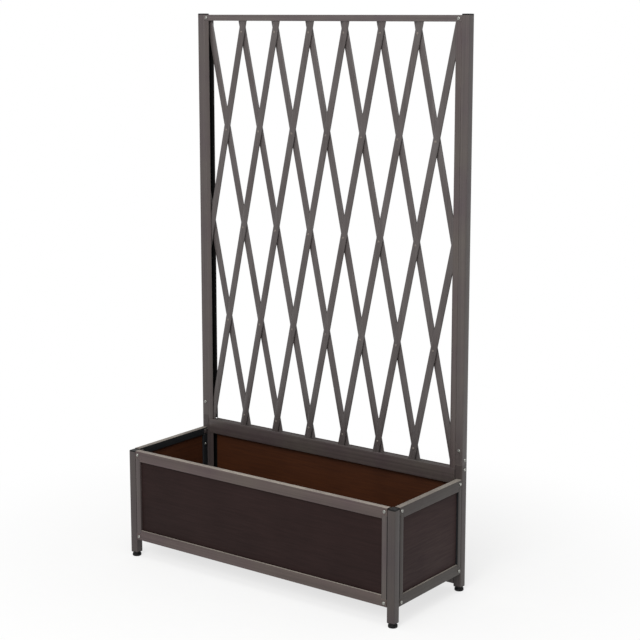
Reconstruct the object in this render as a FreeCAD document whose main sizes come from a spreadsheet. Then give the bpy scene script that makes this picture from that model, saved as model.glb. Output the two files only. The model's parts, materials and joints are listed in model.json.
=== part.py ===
import FreeCAD, Part
import os

# Planter box on four legs with a tall diamond lattice standing at its back.
# X runs along the width, Y from the front face to the back, Z up from the floor.
# The origin is the middle of the footprint, on the floor. All sizes are in millimetres.

doc = FreeCAD.newDocument("planter_with_trellis")
sheet = doc.addObject("Spreadsheet::Sheet", "dims")

DIMENSIONS = [
    # name, value, what it sizes
    ("overall_width", "800", "over the outer faces of the posts"),
    ("overall_depth", "300", "over the outer faces of the posts"),
    ("overall_height", "1350", "floor to the top of the tall posts' caps"),
    ("post_size", "20", "side of the square post tube"),
    ("post_wall", "1.2", "wall of the post tube"),
    ("post_radius", "1.5", "outer corner radius of the post tube"),
    ("tab_reach", "14", "how far a post's screw tab stands out from the tube"),
    ("tab_wall", "2", "thickness of the screw tab"),
    ("tab_height", "10", "height of the screw tab"),
    ("foot_height", "10.5", "floor to the underside of the leg plug"),
    ("foot_radius", "11", "round pad of the screw-in foot"),
    ("foot_pad", "7", "height of the foot's pad"),
    ("foot_neck", "9", "radius of the neck over the pad"),
    ("foot_round", "1.8", "rounding of the pad's rims"),
    ("stem_radius", "4", "threaded stem of the foot, taken at its crest"),
    ("stem_length", "18", "stem above the neck"),
    ("running_gap", "0.06", "radial play of the stem in its plug"),
    ("plug_flange", "1.5", "lip of the leg plug under the tube's end"),
    ("plug_depth", "22", "leg plug inside the tube"),
    ("plug_gap", "0.1", "play of plugs and sleeves in the tube, each side"),
    ("cap_lid", "3", "cap above the tube's end"),
    ("cap_depth", "12", "cap's spigot inside the tube"),
    ("cap_round", "1", "rounding of the cap's top edges"),
    ("front_height", "275", "floor to the top of the front posts' caps"),
    ("box_underside", "46", "floor to the lower rails"),
    ("box_top", "276", "floor to the top of the box rails"),
    ("rail_body", "18", "height of a box rail's hollow part"),
    ("frame_depth", "15", "front to back of all frame tubes"),
    ("frame_wall", "1.2", "wall of all frame tubes"),
    ("stile_width", "14", "face of the upright tubes and channels"),
    ("lip_height", "8", "rail's lip that covers the panel's edge"),
    ("lip_depth", "5", "thickness of that lip"),
    ("groove", "1", "gap between a frame and the post beside it"),
    ("back_rail_body", "38", "height of the wide rail under the lattice"),
    ("back_rail_top", "300", "floor to the top of the wide rail"),
    ("back_rail_drop", "29", "lower back rail below the other lower rails"),
    ("panel_wall", "5", "boards round the box"),
    ("floor_wall", "6", "floor board of the box"),
    ("board_gap", "0.5", "play round the floor board"),
    ("drain_radius", "6", "drain hole in the floor board"),
    ("drain_step_x", "190", "drain holes along the width"),
    ("drain_step_y", "120", "drain holes front to back"),
    ("bar_size", "15", "square tube crossbar under the floor board"),
    ("bar_step", "190", "spacing of the crossbars"),
    ("joint_lift", "9.5", "top of the wide rail to the joint in the back posts"),
    ("sleeve_wall", "1.5", "inner sleeve at that joint"),
    ("sleeve_below", "41.5", "sleeve below the joint"),
    ("sleeve_above", "46.5", "sleeve above the joint"),
    ("side_screw_step", "11.5", "joint to the sleeve screws in the post's side"),
    ("front_screw_step", "34.5", "joint to the sleeve screw in the post's front"),
    ("head_rail", "15", "height of the rail over the lattice"),
    ("cell_count", "7", "diamonds across the lattice"),
    ("row_margin", "27", "rail to the nearest row of crossings"),
    ("slat_face", "18.5", "face of a lattice slat"),
    ("slat_depth", "6", "front to back of a slat"),
    ("slat_set_back", "2.5", "front of the lattice's frame to the front slats"),
    ("slat_wall", "0.8", "wall of the slat's flat tube"),
    ("slat_round", "2.2", "corner radius of the slat"),
    ("rivet_radius", "2", "rivet's shank"),
    ("rivet_head", "3", "radius of the rivet's domed head"),
    ("rivet_dome", "1.2", "height of the rivet's domed head"),
    ("rivet_tail", "2.6", "radius of the rivet's closed end"),
    ("rivet_close", "0.9", "height of the rivet's closed end"),
    ("screw_radius", "2", "screw's shank"),
    ("screw_frame", "18.5", "frame screw below its head"),
    ("screw_rear", "10", "rear frame screw below its head"),
    ("screw_sleeve", "8", "sleeve screw below its head"),
    ("screw_stile", "10", "stile screw below its head"),
    ("screw_head", "3.8", "radius of the pan head"),
    ("screw_dome", "2.2", "height of the pan head"),
    ("screw_rim", "1.4", "rounding of the pan head"),
    ("bore_gap", "0.15", "play of a screw or rivet in its hole"),
    ("stile_screw_level", "232", "floor to the screw inside the rear side stile"),
    # worked out from the values above
    ("half_width", "=overall_width / 2", "outer face of the right posts"),
    ("half_depth", "=overall_depth / 2", "outer face of the back posts"),
    ("post_in_x", "=half_width - post_size", "inner face of the right posts"),
    ("post_in_y", "=half_depth - post_size", "inner face of the back posts"),
    ("post_mid_x", "=half_width - post_size / 2", "middle of the right posts"),
    ("post_mid_y", "=half_depth - post_size / 2", "middle of the back posts"),
    ("frame_end_x", "=post_in_x - groove", "end of the front and back frames"),
    ("frame_end_y", "=post_in_y - groove", "end of the side frames"),
    ("open_x", "=frame_end_x - stile_width", "inner face of the front stiles"),
    ("open_y", "=frame_end_y - stile_width", "inner face of the side stiles"),
    ("panel_low", "=box_underside + rail_body", "lower edge of the boards"),
    ("panel_high", "=box_top - rail_body", "upper edge of the boards"),
    ("back_rail_low", "=back_rail_top - back_rail_body", "underside of the wide rail"),
    ("leg_low", "=foot_height + plug_flange", "lower end of the leg tubes"),
    ("post_joint", "=back_rail_top + joint_lift", "joint in the back posts"),
    ("sleeve_low", "=post_joint - sleeve_below", "lower end of the sleeves"),
    ("sleeve_high", "=post_joint + sleeve_above", "upper end of the sleeves"),
    ("sleeve_screw_front", "=post_joint + front_screw_step", "front sleeve screws"),
    ("sleeve_screw_low", "=post_joint - side_screw_step", "lower side sleeve screws"),
    ("sleeve_screw_high", "=post_joint + side_screw_step", "upper side sleeve screws"),
    ("front_post_top", "=front_height - cap_lid", "upper end of the front tubes"),
    ("tall_post_top", "=overall_height - cap_lid", "upper end of the tall tubes"),
    ("lattice_top", "=tall_post_top - head_rail", "underside of the head rail"),
    ("lattice_mid", "=(lattice_top + back_rail_top) / 2", "height of the middle row"),
    ("row_step", "=(lattice_top - back_rail_top - 2 * row_margin) / 4", "row to row"),
    ("half_cell", "=open_x / cell_count", "half of one diamond's width"),
    ("slat_run", "=sqrt(half_cell * half_cell + row_step * row_step)", "slat per row"),
    ("slat_sin", "=half_cell / slat_run", "lean of a slat"),
    ("slat_cos", "=row_step / slat_run", "lean of a slat"),
    ("slat_blank", "=4 * slat_run + 8 * row_margin", "slat before its ends are trimmed"),
    ("slat_front", "=post_in_y + slat_set_back", "face of the front slats"),
    ("lattice_edge", "=post_in_x - frame_wall", "inner face of the lattice channels"),
    ("screw_x", "=post_in_x - groove - stile_width / 2", "screws in front and back frames"),
    ("screw_y", "=post_in_y - groove - stile_width / 2", "screws in side frames"),
    ("screw_top", "=box_top - rail_body / 2", "screws in the upper box rails"),
    ("screw_low", "=box_underside + rail_body / 2", "screws in the lower box rails"),
    ("screw_back", "=back_rail_top - back_rail_body / 2", "screws in the wide rail"),
    ("screw_head_rail", "=tall_post_top - head_rail / 2", "screws in the head rail"),
]

for row, (alias, value, meaning) in enumerate(DIMENSIONS, start=1):
    sheet.set("A%d" % row, alias)
    sheet.set("B%d" % row, value)
    sheet.set("C%d" % row, meaning)
    sheet.setAlias("B%d" % row, alias)
doc.recompute()


def bound(text):
    """Turns bare dimension names into references to the sheet."""
    known = set(item[0] for item in DIMENSIONS)
    out = ""
    word = ""
    for letter in text + " ":
        if letter.isalnum() or letter == "_":
            word += letter
            continue
        out += ("dims." + word) if word in known else word
        out += letter
        word = ""
    return out.strip()


def place(item, x, y, z):
    """Ties the three coordinates of an object's corner or axis start."""
    item.setExpression(".Placement.Base.x", bound(x))
    item.setExpression(".Placement.Base.y", bound(y))
    item.setExpression(".Placement.Base.z", bound(z))


def block(name, x, y, z, size_x, size_y, size_z):
    """Rectangular block given by its lowest corner and its three sizes."""
    item = doc.addObject("Part::Box", name)
    item.setExpression("Length", bound(size_x))
    item.setExpression("Width", bound(size_y))
    item.setExpression("Height", bound(size_z))
    place(item, x, y, z)
    return item


def rod(name, direction, x, y, z, radius, length):
    """Round bar from a start point along one of the axes."""
    item = doc.addObject("Part::Cylinder", name)
    turn = FreeCAD.Rotation(FreeCAD.Vector(0, 0, 1), FreeCAD.Vector(*direction))
    item.Placement = FreeCAD.Placement(FreeCAD.Vector(), turn)
    item.setExpression("Radius", bound(radius))
    item.setExpression("Height", bound(length))
    place(item, x, y, z)
    return item


def fuse(name, items):
    item = doc.addObject("Part::MultiFuse", name)
    item.Shapes = items
    item.Refine = True
    return item


def cut(name, base, tool):
    item = doc.addObject("Part::Cut", name)
    item.Base = base
    item.Tool = tool
    return item


def overlap(name, base, tool):
    item = doc.addObject("Part::MultiCommon", name)
    item.Shapes = [base, tool]
    return item


def group(name, items):
    item = doc.addObject("Part::Compound", name)
    item.Links = items
    return item


def rounded(name, base, radius, wanted):
    """Rounds the edges for which wanted(edge) is true."""
    doc.recompute()
    size = float(sheet.get(radius))
    edges = []
    for number, edge in enumerate(base.Shape.Edges, start=1):
        if wanted(edge):
            edges.append((number, size, size))
    item = doc.addObject("Part::Fillet", name)
    item.Base = base
    item.Edges = edges
    return item


def along(edge, axis):
    """True for a straight edge that runs along the given axis."""
    if not isinstance(edge.Curve, Part.Line):
        return False
    run = edge.Vertexes[1].Point - edge.Vertexes[0].Point
    return abs(run.normalize().dot(FreeCAD.Vector(*axis))) > 0.999


parts = []


def finish(item, label):
    """Marks an object as one named piece of the assembly."""
    item.Label = label
    parts.append(item)
    return item


# Screws: pan heads, shanks through a frame tube into the tab behind it, or from the rear
# through the tab into the tube. Back posts have short ones through tube and sleeve, and
# each rear side stile has one on its inner face.
# Each entry is the point under the head, the shank's direction and its length.
BOX_SCREWS = []
TRELLIS_SCREWS = []
for side in ("", "-"):
    for level in ("screw_top", "screw_low"):
        BOX_SCREWS.append((side + "screw_x", "-half_depth", level, (0, 1, 0), "screw_frame"))
        BOX_SCREWS.append(("half_width", side + "screw_y", level, (-1, 0, 0), "screw_frame"))
        BOX_SCREWS.append(("-half_width", side + "screw_y", level, (1, 0, 0), "screw_frame"))
    for level in ("screw_back", "screw_low"):
        BOX_SCREWS.append((side + "screw_x", "post_in_y + frame_depth + tab_wall", level,
                           (0, -1, 0), "screw_rear"))
    TRELLIS_SCREWS.append((side + "screw_x", "post_in_y", "screw_head_rail",
                           (0, 1, 0), "screw_frame"))
    TRELLIS_SCREWS.append((side + "post_mid_x", "post_in_y", "sleeve_screw_front",
                           (0, 1, 0), "screw_sleeve"))
BOX_SCREWS.append(("half_width - frame_depth", "screw_y", "stile_screw_level",
                   (1, 0, 0), "screw_stile"))
BOX_SCREWS.append(("-half_width + frame_depth", "screw_y", "stile_screw_level",
                   (-1, 0, 0), "screw_stile"))
for level in ("sleeve_screw_low", "sleeve_screw_high"):
    TRELLIS_SCREWS.append(("half_width", "post_mid_y", level, (-1, 0, 0), "screw_sleeve"))
    TRELLIS_SCREWS.append(("-half_width", "post_mid_y", level, (1, 0, 0), "screw_sleeve"))


def screw(name, x, y, z, direction, length):
    """Pan head with a rounded rim on a plain shank."""
    outward = FreeCAD.Vector(*direction).negative()
    head = rod(name + "_head", tuple(outward), x, y, z, "screw_head", "screw_dome")
    doc.recompute()
    far = max(edge.CenterOfMass.dot(outward) for edge in head.Shape.Edges)
    rim = rounded(name + "_rim", head, "screw_rim",
                  lambda edge: edge.Closed and abs(edge.CenterOfMass.dot(outward) - far) < 0.01)
    shank = rod(name + "_shank", direction, x, y, z, "screw_radius", length)
    return fuse(name, [rim, shank])


bores = []
for label, entries in (("box_frame_screws", BOX_SCREWS), ("trellis_screws", TRELLIS_SCREWS)):
    pieces = []
    for number, (x, y, z, direction, length) in enumerate(entries, start=1):
        name = "%s_%d" % (label, number)
        pieces.append(screw(name, x, y, z, direction, length))
        bores.append(rod(name + "_bore", direction, x, y, z,
                         "screw_radius + bore_gap", length + " + bore_gap"))
    finish(group(label + "_group", pieces), label)
screw_bores = group("screw_bores", bores)


# Posts: square tubes with rounded corners. Thin tabs welded to them reach behind the ends
# of the frames, one for each screw.
def tab_x(name, side, y, level):
    """Tab beside the tube, behind a front or back frame."""
    x = "post_in_x - tab_reach" if side > 0 else "-post_in_x"
    return block(name, x, y, level + " - tab_height / 2", "tab_reach", "tab_wall", "tab_height")


def tab_y(name, side, back, level):
    """Tab in front of or behind the tube, on the inner side of a side frame."""
    x = "half_width - frame_depth - tab_wall" if side > 0 else "-half_width + frame_depth"
    y = "post_in_y - tab_reach" if back else "-post_in_y"
    return block(name, x, y, level + " - tab_height / 2", "tab_wall", "tab_reach", "tab_height")


def post(label, side, back, low, high, tabs):
    """Square tube at one corner of the footprint, with its tabs and screw holes."""
    x = "post_in_x" if side > 0 else "-half_width"
    y = "post_in_y" if back else "-half_depth"
    length = high + " - " + low
    outer = block(label + "_outer", x, y, low, "post_size", "post_size", length)
    soft = rounded(label + "_soft", outer, "post_radius", lambda edge: along(edge, (0, 0, 1)))
    inner = block(label + "_inner", x + " + post_wall", y + " + post_wall", low,
                  "post_size - 2 * post_wall", "post_size - 2 * post_wall", length)
    body = fuse(label + "_body", [soft] + tabs)
    hollow = cut(label + "_hollow", body, inner)
    finish(cut(label + "_drilled", hollow, screw_bores), label)


SIDES = ((-1, "left"), (1, "right"))
for side, word in SIDES:
    label = "front_%s_post" % word
    tabs = []
    for level in ("screw_top", "screw_low"):
        tabs.append(tab_x(label + "_x_" + level, side, "-half_depth + frame_depth", level))
        tabs.append(tab_y(label + "_y_" + level, side, False, level))
    post(label, side, False, "leg_low", "front_post_top", tabs)

    label = "back_%s_post" % word
    tabs = []
    for level in ("screw_back", "screw_low"):
        tabs.append(tab_x(label + "_x_" + level, side, "post_in_y + frame_depth", level))
    for level in ("screw_top", "screw_low"):
        tabs.append(tab_y(label + "_y_" + level, side, True, level))
    post(label, side, True, "leg_low", "post_joint", tabs)

    label = "trellis_%s_post" % word
    tabs = [tab_x(label + "_x", side, "post_in_y + frame_depth", "screw_head_rail")]
    post(label, side, True, "post_joint", "tall_post_top", tabs)

# Sleeves: short square tubes inside the back posts, across the joint.
sleeves = []
for side, word in SIDES:
    reach = " + post_wall + plug_gap"
    x = ("post_in_x" if side > 0 else "-half_width") + reach
    size = "post_size - 2 * (post_wall + plug_gap)"
    name = "sleeve_" + word
    length = "sleeve_high - sleeve_low"
    outer = block(name + "_outer", x, "post_in_y" + reach, "sleeve_low", size, size, length)
    inner = block(name + "_inner", x + " + sleeve_wall", "post_in_y" + reach + " + sleeve_wall",
                  "sleeve_low", size + " - 2 * sleeve_wall", size + " - 2 * sleeve_wall", length)
    hollow = cut(name + "_hollow", outer, inner)
    sleeves.append(cut(name, hollow, screw_bores))
finish(group("sleeves", sleeves), "post_joint_sleeves")

# Caps: a square lid with rounded top edges over a spigot inside the tube.
# Leg plugs: a thin square lip under the tube with a body inside it, bored for the foot.
# Feet: a round pad with a neck and a threaded stem that screws into the plug.
plugs = []
for back, row_word in ((False, "front"), (True, "back")):
    for side, word in SIDES:
        x = "post_in_x" if side > 0 else "-half_width"
        y = "post_in_y" if back else "-half_depth"
        inner_x = x + " + post_wall + plug_gap"
        inner_y = y + " + post_wall + plug_gap"
        inner_size = "post_size - 2 * (post_wall + plug_gap)"
        centre_x = x + " + post_size / 2"
        centre_y = y + " + post_size / 2"
        top = "tall_post_top" if back else "front_post_top"

        label = "%s_%s_post_cap" % ("trellis" if back else "front", word)
        lid = block(label + "_lid", x, y, top, "post_size", "post_size", "cap_lid")
        doc.recompute()
        crown = lid.Shape.BoundBox.ZMax
        soft = rounded(label + "_soft", lid, "cap_round",
                       lambda edge: edge.BoundBox.ZMin > crown - 0.01 or along(edge, (0, 0, 1)))
        spigot = block(label + "_spigot", inner_x, inner_y, top + " - cap_depth",
                       inner_size, inner_size, "cap_depth")
        finish(fuse(label + "_body", [soft, spigot]), label)

        label = "%s_%s_foot" % (row_word, word)
        pad = rod(label + "_pad", (0, 0, 1), centre_x, centre_y, "0", "foot_radius", "foot_pad")
        soft = rounded(label + "_soft", pad, "foot_round", lambda edge: edge.Closed)
        neck = rod(label + "_neck", (0, 0, 1), centre_x, centre_y, "foot_pad",
                   "foot_neck", "foot_height - foot_pad")
        stem = rod(label + "_stem", (0, 0, 1), centre_x, centre_y, "foot_height",
                   "stem_radius", "stem_length")
        finish(fuse(label + "_body", [soft, neck, stem]), label)

        name = "%s_%s_plug" % (row_word, word)
        lip = block(name + "_lip", x, y, "foot_height", "post_size", "post_size", "plug_flange")
        body = block(name + "_body", inner_x, inner_y, "leg_low",
                     inner_size, inner_size, "plug_depth")
        bore = rod(name + "_bore", (0, 0, 1), centre_x, centre_y, "foot_height",
                   "stem_radius + running_gap", "plug_flange + plug_depth")
        plugs.append(cut(name, fuse(name + "_solid", [lip, body]), bore))
finish(group("plugs", plugs), "leg_plugs")


# Frames: rectangular tubes. A frame runs along X or Y; near is its face nearest the origin
# of that cross axis, taken as the lower coordinate.
def tube(name, axis, start, near, low, run, tall, lip=None):
    """Level tube along X or Y with an optional lip given as start, near, low, run, tall."""
    boxes = []
    for inset in ("0", "frame_wall"):
        deep = "frame_depth - 2 * " + inset
        place_near = near + " + " + inset
        place_low = low + " + " + inset
        height = tall + " - 2 * " + inset
        label = name + "_" + inset
        if axis == "x":
            boxes.append(block(label, start, place_near, place_low, run, deep, height))
        else:
            boxes.append(block(label, place_near, start, place_low, deep, run, height))
    solid = boxes[0]
    if lip:
        lip_start, lip_near, lip_low, lip_run = lip
        if axis == "x":
            strip = block(name + "_lip", lip_start, lip_near, lip_low, lip_run,
                          "lip_depth", "lip_height")
        else:
            strip = block(name + "_lip", lip_near, lip_start, lip_low,
                          "lip_depth", lip_run, "lip_height")
        solid = fuse(name + "_solid", [solid, strip])
    hollow = cut(name + "_hollow", solid, boxes[1])
    finish(cut(name + "_drilled", hollow, screw_bores), name)


def channel(name, side, low, high, outer_x):
    """Upright channel as deep as the posts, with its open side to the middle."""
    tall = high + " - " + low
    reach = outer_x + " - open_x"
    x = "open_x" if side > 0 else "-(%s)" % outer_x
    outer = block(name + "_outer", x, "post_in_y", low, reach, "post_size", tall)
    x = "open_x" if side > 0 else "-(%s) + frame_wall" % outer_x
    inner = block(name + "_inner", x, "post_in_y + frame_wall", low, reach + " - frame_wall",
                  "post_size - 2 * frame_wall", tall)
    finish(cut(name + "_section", outer, inner), name)


def stile(name, x, y, low, high, size_x, size_y):
    """Upright tube between two rails."""
    tall = high + " - " + low
    outer = block(name + "_outer", x, y, low, size_x, size_y, tall)
    inner = block(name + "_inner", x + " + frame_wall", y + " + frame_wall", low,
                  size_x + " - 2 * frame_wall", size_y + " - 2 * frame_wall", tall)
    hollow = cut(name + "_tube", outer, inner)
    finish(cut(name + "_drilled", hollow, screw_bores), name)


# Front and side frames: each rail's lip hangs over the board's edge on the outer side.
TOP_LIP = "panel_high - lip_height"
tube("front_top_rail", "x", "-frame_end_x", "-half_depth", "panel_high", "2 * frame_end_x",
     "rail_body", ("-open_x", "-half_depth", TOP_LIP, "2 * open_x"))
tube("front_bottom_rail", "x", "-frame_end_x", "-half_depth", "box_underside",
     "2 * frame_end_x", "rail_body", ("-open_x", "-half_depth", "panel_low", "2 * open_x"))
for side, word in SIDES:
    near = "half_width - frame_depth" if side > 0 else "-half_width"
    lip_near = "half_width - lip_depth" if side > 0 else "-half_width"
    tube(word + "_top_rail", "y", "-frame_end_y", near, "panel_high", "2 * frame_end_y",
         "rail_body", ("-open_y", lip_near, TOP_LIP, "2 * open_y"))
    tube(word + "_bottom_rail", "y", "-frame_end_y", near, "box_underside",
         "2 * frame_end_y", "rail_body", ("-open_y", lip_near, "panel_low", "2 * open_y"))

# Back frame: plain rails between the back posts. The upper one is wide, and the lower one
# hangs further down than the other lower rails.
tube("back_top_rail", "x", "-frame_end_x", "post_in_y", "back_rail_low", "2 * frame_end_x",
     "back_rail_body")
tube("back_bottom_rail", "x", "-frame_end_x", "post_in_y", "box_underside - back_rail_drop",
     "2 * frame_end_x", "rail_body + back_rail_drop")

# Uprights: closed tubes in the front and side frames. Those of the back frame and the lattice
# are channels, and the lattice's stand against the tall posts.

for side, word in SIDES:
    x = "open_x" if side > 0 else "-frame_end_x"
    stile("front_%s_stile" % word, x, "-half_depth", "panel_low", "panel_high",
          "stile_width", "frame_depth")
    channel("back_%s_stile" % word, side, "panel_low", "back_rail_low", "frame_end_x")
    channel("trellis_%s_stile" % word, side, "back_rail_top", "lattice_top", "post_in_x")
    x = "half_width - frame_depth" if side > 0 else "-half_width"
    stile("%s_front_stile" % word, x, "-frame_end_y", "panel_low", "panel_high",
          "frame_depth", "stile_width")
    stile("%s_back_stile" % word, x, "open_y", "panel_low", "panel_high",
          "frame_depth", "stile_width")

# Boards: the front and side ones stand behind the lips, between rails and stiles.
# The back one lies on the rear of the back rails, between the channels and the posts' tabs.
TALL = "panel_high - panel_low"
finish(block("front_board", "-open_x", "-half_depth + lip_depth", "panel_low",
             "2 * open_x", "panel_wall", TALL), "front_panel")
finish(block("back_board", "-open_x", "post_in_y + frame_depth", "box_underside",
             "2 * open_x", "panel_wall", "back_rail_top - box_underside"), "back_panel")
for side, word in SIDES:
    x = "half_width - lip_depth - panel_wall" if side > 0 else "-half_width + lip_depth"
    finish(block(word + "_board", x, "-open_y", "panel_low", "panel_wall", "2 * open_y", TALL),
           word + "_panel")

# Floor board: lies on the lower rails and the crossbars, notched round posts and stiles.
# Its drain holes lie between the crossbars.
FLOOR_X = "half_width - lip_depth - panel_wall - board_gap"
FLOOR_FRONT = "-half_depth + lip_depth + panel_wall + board_gap"
FLOOR_BACK = "post_in_y + frame_depth - board_gap"
floor_sheet = block("floor_sheet", "-(%s)" % FLOOR_X, FLOOR_FRONT, "panel_low",
                    "2 * (%s)" % FLOOR_X, "%s - (%s)" % (FLOOR_BACK, FLOOR_FRONT), "floor_wall")
openings = []
for side, word in SIDES:
    for back in (False, True):
        x = "open_x - board_gap" if side > 0 else "-half_width"
        y = "post_in_y - board_gap" if back else "-half_depth"
        openings.append(block("floor_post_%d" % len(openings), x, y, "panel_low",
                              "half_width - open_x + board_gap", "post_size + board_gap",
                              "floor_wall"))
        x = "half_width - frame_depth - board_gap" if side > 0 else "-half_width"
        y = "open_y - board_gap" if back else "-half_depth"
        openings.append(block("floor_stile_%d" % len(openings), x, y, "panel_low",
                              "frame_depth + board_gap", "half_depth - open_y + board_gap",
                              "floor_wall"))
for column in (-1, 0, 1):
    for line in (-0.5, 0.5):
        openings.append(rod("drain_%d" % len(openings), (0, 0, 1), "%d * drain_step_x" % column,
                            "%s * drain_step_y" % line, "panel_low", "drain_radius",
                            "floor_wall"))
finish(cut("floor_cut", floor_sheet, group("floor_openings", openings)), "floor_panel")

# Crossbars: square tubes between the lower front and back rails, under the floor board.
bars = []
for number, step in enumerate((-1.5, -0.5, 0.5, 1.5), start=1):
    name = "bar_%d" % number
    x = "%s * bar_step - bar_size / 2" % step
    y = "-half_depth + frame_depth"
    length = "post_in_y + half_depth - frame_depth"
    low = "panel_low - bar_size"
    hollow_size = "bar_size - 2 * frame_wall"
    outer = block(name + "_outer", x, y, low, "bar_size", length, "bar_size")
    inner = block(name + "_inner", x + " + frame_wall", y, low + " + frame_wall",
                  hollow_size, length, hollow_size)
    bars.append(cut(name, outer, inner))
finish(group("bars", bars), "floor_crossbars")

# Head rail: closes the lattice's frame between the tall posts.
tube("trellis_top_rail", "x", "-post_in_x", "post_in_y", "lattice_top", "2 * post_in_x",
     "head_rail")

# Lattice crossings: five rows, with one crossing more in the even rows.
# Column 0 is the middle of the lattice, counted in half diamonds.
CROSSINGS = []
for line in (-2, -1, 0, 1, 2):
    columns = (-5, -3, -1, 1, 3, 5) if line % 2 == 0 else (-6, -4, -2, 0, 2, 4, 6)
    for column in columns:
        CROSSINGS.append((column, line))

rivets = []
rivet_bores = []
for number, (column, line) in enumerate(CROSSINGS, start=1):
    x = "%d * half_cell" % column
    z = "lattice_mid + %d * row_step" % line
    stack = "2 * slat_depth"
    name = "rivet_%d" % number
    head = rod(name + "_head", (0, -1, 0), x, "slat_front", z, "rivet_head", "rivet_dome")
    doc.recompute()
    front = head.Shape.BoundBox.YMin
    dome = rounded(name + "_dome", head, "rivet_close",
                   lambda edge: edge.Closed and edge.CenterOfMass.y < front + 0.01)
    shank = rod(name + "_shank", (0, 1, 0), x, "slat_front", z, "rivet_radius", stack)
    tail = rod(name + "_tail", (0, 1, 0), x, "slat_front + " + stack, z,
               "rivet_tail", "rivet_close")
    rivets.append(fuse(name, [dome, shank, tail]))
    rivet_bores.append(rod(name + "_bore", (0, 1, 0), x, "slat_front", z,
                           "rivet_radius + bore_gap", stack))
finish(group("rivets", rivets), "lattice_rivets")
rivet_holes = group("rivet_holes", rivet_bores)

# Slats: flat tubes. Those that rise to the right lie in front, the others behind them.
# Each slat leans by half a diamond per row. Its ends are trimmed flush with the rails, and
# inside the channels with their far walls.
lattice_opening = block("lattice_opening", "-lattice_edge", "post_in_y", "back_rail_top",
                        "2 * lattice_edge", "post_size", "lattice_top - back_rail_top")


def slat(label, lean, middle, layer):
    """lean is 1 for a slat rising to the right, middle its column at the middle row."""
    sides = []
    for part, inset in (("outer", "0"), ("inner", "slat_wall")):
        item = doc.addObject("Part::Box", "%s_%s" % (label, part))
        turn = FreeCAD.Rotation(FreeCAD.Vector(0, lean, 0), 10)
        item.Placement = FreeCAD.Placement(FreeCAD.Vector(), turn)
        item.setExpression(".Placement.Rotation.Angle", bound("asin(slat_sin)"))
        item.setExpression("Length", bound("slat_face - 2 * " + inset))
        item.setExpression("Width", bound("slat_depth - 2 * " + inset))
        item.setExpression("Height", bound("slat_blank"))
        half = "(slat_face / 2 - %s)" % inset
        x = "%d * half_cell - %s * slat_cos - (%d) * slat_blank / 2 * slat_sin" % (
            middle, half, lean)
        z = "lattice_mid + (%d) * %s * slat_sin - slat_blank / 2 * slat_cos" % (lean, half)
        y = "slat_front + %d * slat_depth + %s" % (layer, inset)
        place(item, x, y, z)
        sides.append(item)
    outer, inner = sides
    run = (lean * float(sheet.get("slat_sin")), 0, float(sheet.get("slat_cos")))
    soft = rounded(label + "_soft", outer, "slat_round", lambda edge: along(edge, run))
    hollow = cut(label + "_hollow", soft, inner)
    trimmed = overlap(label + "_trimmed", hollow, lattice_opening)
    finish(cut(label + "_drilled", trimmed, rivet_holes), label)


for number, middle in enumerate((-7, -5, -3, -1, 1, 3, 5, 7), start=1):
    slat("lattice_slat_rising_%d" % number, 1, middle, 0)
    slat("lattice_slat_falling_%d" % number, -1, middle, 1)

doc.recompute()

# Every object is sound, and every piece has a valid solid, before anything is written.
for item in doc.Objects:
    if "Invalid" in item.State or "Error" in item.State:
        raise RuntimeError("%s is not sound: %s" % (item.Name, item.State))
for item in parts:
    if item.Shape.isNull() or not item.Shape.isValid() or not item.Shape.Solids:
        raise RuntimeError("%s has no valid solid" % item.Label)

os.makedirs("parts", exist_ok=True)
for item in parts:
    item.Shape.exportStep("parts/%s.step" % item.Label)
    print(item.Label, len(item.Shape.Solids), round(item.Shape.Volume, 1))
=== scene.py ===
import json
import math

import bmesh
import bpy
from mathutils import Matrix, Vector

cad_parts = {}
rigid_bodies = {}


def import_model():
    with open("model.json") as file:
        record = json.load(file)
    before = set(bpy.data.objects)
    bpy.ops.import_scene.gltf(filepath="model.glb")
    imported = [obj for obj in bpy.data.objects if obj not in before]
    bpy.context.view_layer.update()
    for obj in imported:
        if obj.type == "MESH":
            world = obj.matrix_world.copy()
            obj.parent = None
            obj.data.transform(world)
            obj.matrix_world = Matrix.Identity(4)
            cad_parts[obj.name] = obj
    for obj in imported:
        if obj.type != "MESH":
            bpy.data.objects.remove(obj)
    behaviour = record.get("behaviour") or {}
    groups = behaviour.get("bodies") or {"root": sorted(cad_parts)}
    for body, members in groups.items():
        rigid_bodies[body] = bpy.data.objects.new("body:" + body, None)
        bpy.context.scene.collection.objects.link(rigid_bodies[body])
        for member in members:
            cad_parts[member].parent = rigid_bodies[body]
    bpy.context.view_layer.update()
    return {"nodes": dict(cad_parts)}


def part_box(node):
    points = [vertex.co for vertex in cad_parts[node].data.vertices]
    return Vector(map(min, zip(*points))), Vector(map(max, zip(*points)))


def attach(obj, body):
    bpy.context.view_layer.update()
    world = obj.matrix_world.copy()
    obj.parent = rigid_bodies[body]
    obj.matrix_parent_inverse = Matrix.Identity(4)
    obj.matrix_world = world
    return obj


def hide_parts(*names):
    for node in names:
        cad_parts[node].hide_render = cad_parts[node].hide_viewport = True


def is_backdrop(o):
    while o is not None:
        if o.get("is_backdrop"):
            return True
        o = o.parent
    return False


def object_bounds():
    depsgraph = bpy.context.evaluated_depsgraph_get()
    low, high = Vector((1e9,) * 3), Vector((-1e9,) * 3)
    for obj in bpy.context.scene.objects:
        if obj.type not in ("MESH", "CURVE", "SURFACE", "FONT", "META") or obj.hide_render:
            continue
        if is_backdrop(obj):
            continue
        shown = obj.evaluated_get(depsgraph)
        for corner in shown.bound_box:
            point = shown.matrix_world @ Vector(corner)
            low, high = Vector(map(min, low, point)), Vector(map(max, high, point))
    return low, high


for thing in list(bpy.data.objects):
    bpy.data.objects.remove(thing)
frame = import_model()

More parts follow.
